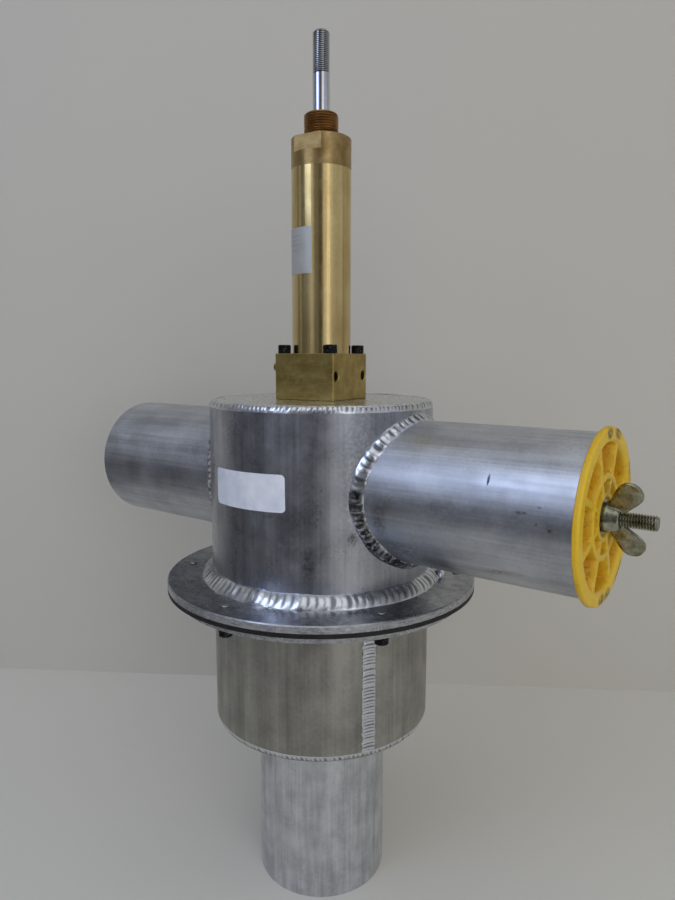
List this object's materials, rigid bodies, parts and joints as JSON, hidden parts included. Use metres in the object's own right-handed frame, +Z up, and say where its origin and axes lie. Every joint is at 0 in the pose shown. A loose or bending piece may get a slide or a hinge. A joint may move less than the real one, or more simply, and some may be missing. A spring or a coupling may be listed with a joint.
{
  "type": "flow control valve",
  "caption": "Welded aluminium lift valve with side and lower tube ports, a bolted flange joint, a brass air cylinder with a rod through it on top, and an expansion plug in a side port.",
  "frame": {"origin": "centre of the lower tube's open end, which the valve stands on", "axes": "+Z up along the rod and the lower tube, +X along the side tubes towards the one with the plug, +Y away from the side that carries the label"},
  "size_m": [0.4574, 0.24, 0.648],
  "materials": {
    "satin_aluminium": "satin, handled and scuffed",
    "flange_aluminium": "turned faces with a bright edge",
    "weld": "rippled weld metal",
    "black_rubber": "matt moulded rubber",
    "black_screw": "black oxide",
    "brushed_brass": "drawn and brushed",
    "cap_brass": "dull, tarnished",
    "block_brass": "milled, tarnished",
    "gland_bronze": "turned bronze, browned",
    "bronze": "sintered bronze",
    "fitting_brass": "turned",
    "stainless": "turned stainless steel",
    "turned_aluminium": "turned",
    "chrome_rod": "ground and hard chromed",
    "spring_steel": "oiled spring wire",
    "zinc_steel": "zinc plated",
    "yellow_plastic": "moulded plastic",
    "white_label": "satin paper label",
    "silver_label": "silvered film label"
  },
  "bodies": {
    "valve_body": {"lower_pipe": "satin_aluminium", "lower_pipe_weld": "weld", "lower_end_plate": "satin_aluminium", "lower_edge_weld": "weld", "lower_can": "satin_aluminium", "lower_flange_weld": "weld", "seat_ring": "stainless", "seam_welds": "weld", "lower_flange": "flange_aluminium", "flange_gasket": "black_rubber", "upper_flange": "flange_aluminium", "flange_screws": "black_screw", "upper_flange_weld": "weld", "upper_can": "satin_aluminium", "left_pipe": "satin_aluminium", "right_pipe": "satin_aluminium", "left_saddle_weld": "weld", "right_saddle_weld": "weld", "top_plate": "satin_aluminium", "top_edge_weld": "weld", "base_block": "block_brass", "block_screws": "black_screw", "block_o_ring": "black_rubber", "rod_seal": "black_rubber", "lower_bushing": "bronze", "cylinder_tube": "brushed_brass", "cylinder_cap": "cap_brass", "threaded_gland": "gland_bronze", "cap_o_ring": "black_rubber", "vent_filter": "bronze", "upper_bushing": "bronze", "rod_wiper": "black_rubber", "air_fitting": "fitting_brass", "return_spring": "spring_steel", "can_label": "white_label", "tube_label": "silver_label"},
    "rod": {"piston_rod": "chrome_rod", "piston": "turned_aluminium", "piston_seal": "black_rubber", "piston_clips": "stainless", "disc_facing": "black_rubber", "valve_disc": "turned_aluminium", "facing_washer": "stainless", "disc_nuts": "zinc_steel"},
    "plug": {"plug_disc": "yellow_plastic", "plug_washer": "zinc_steel", "plug_ring": "black_rubber"},
    "plug_bolt": {"plug_bolt": "zinc_steel", "plug_inner_disc": "yellow_plastic"},
    "wing_nut": {"wing_nut": "zinc_steel"}
  },
  "joints": [
    {"name": "rod_lift", "type": "slide", "parent": "valve_body", "child": "rod", "axis": [0, 0, 1], "range_m": [0, 0.0508], "stiffness_N_per_m": 600, "springref_m": -0.06, "deforming": ["return_spring"]},
    {"name": "plug_slide", "type": "slide", "parent": "valve_body", "child": "plug", "axis": [1, 0, 0], "range_m": [0, 0.06]},
    {"name": "wing_nut_turn", "type": "hinge", "parent": "plug", "child": "wing_nut", "pos_m": [0.213, 0, 0.32085], "axis": [1, 0, 0], "range_deg": [0, 1080]},
    {"name": "bolt_slide", "type": "slide", "parent": "plug", "child": "plug_bolt", "axis": [1, 0, 0], "range_m": [-0.00476, 0]}
  ],
  "couplings": [
    {"joint": "wing_nut_turn", "follows": "bolt_slide", "rad_per_m": -3957.9}
  ]
}
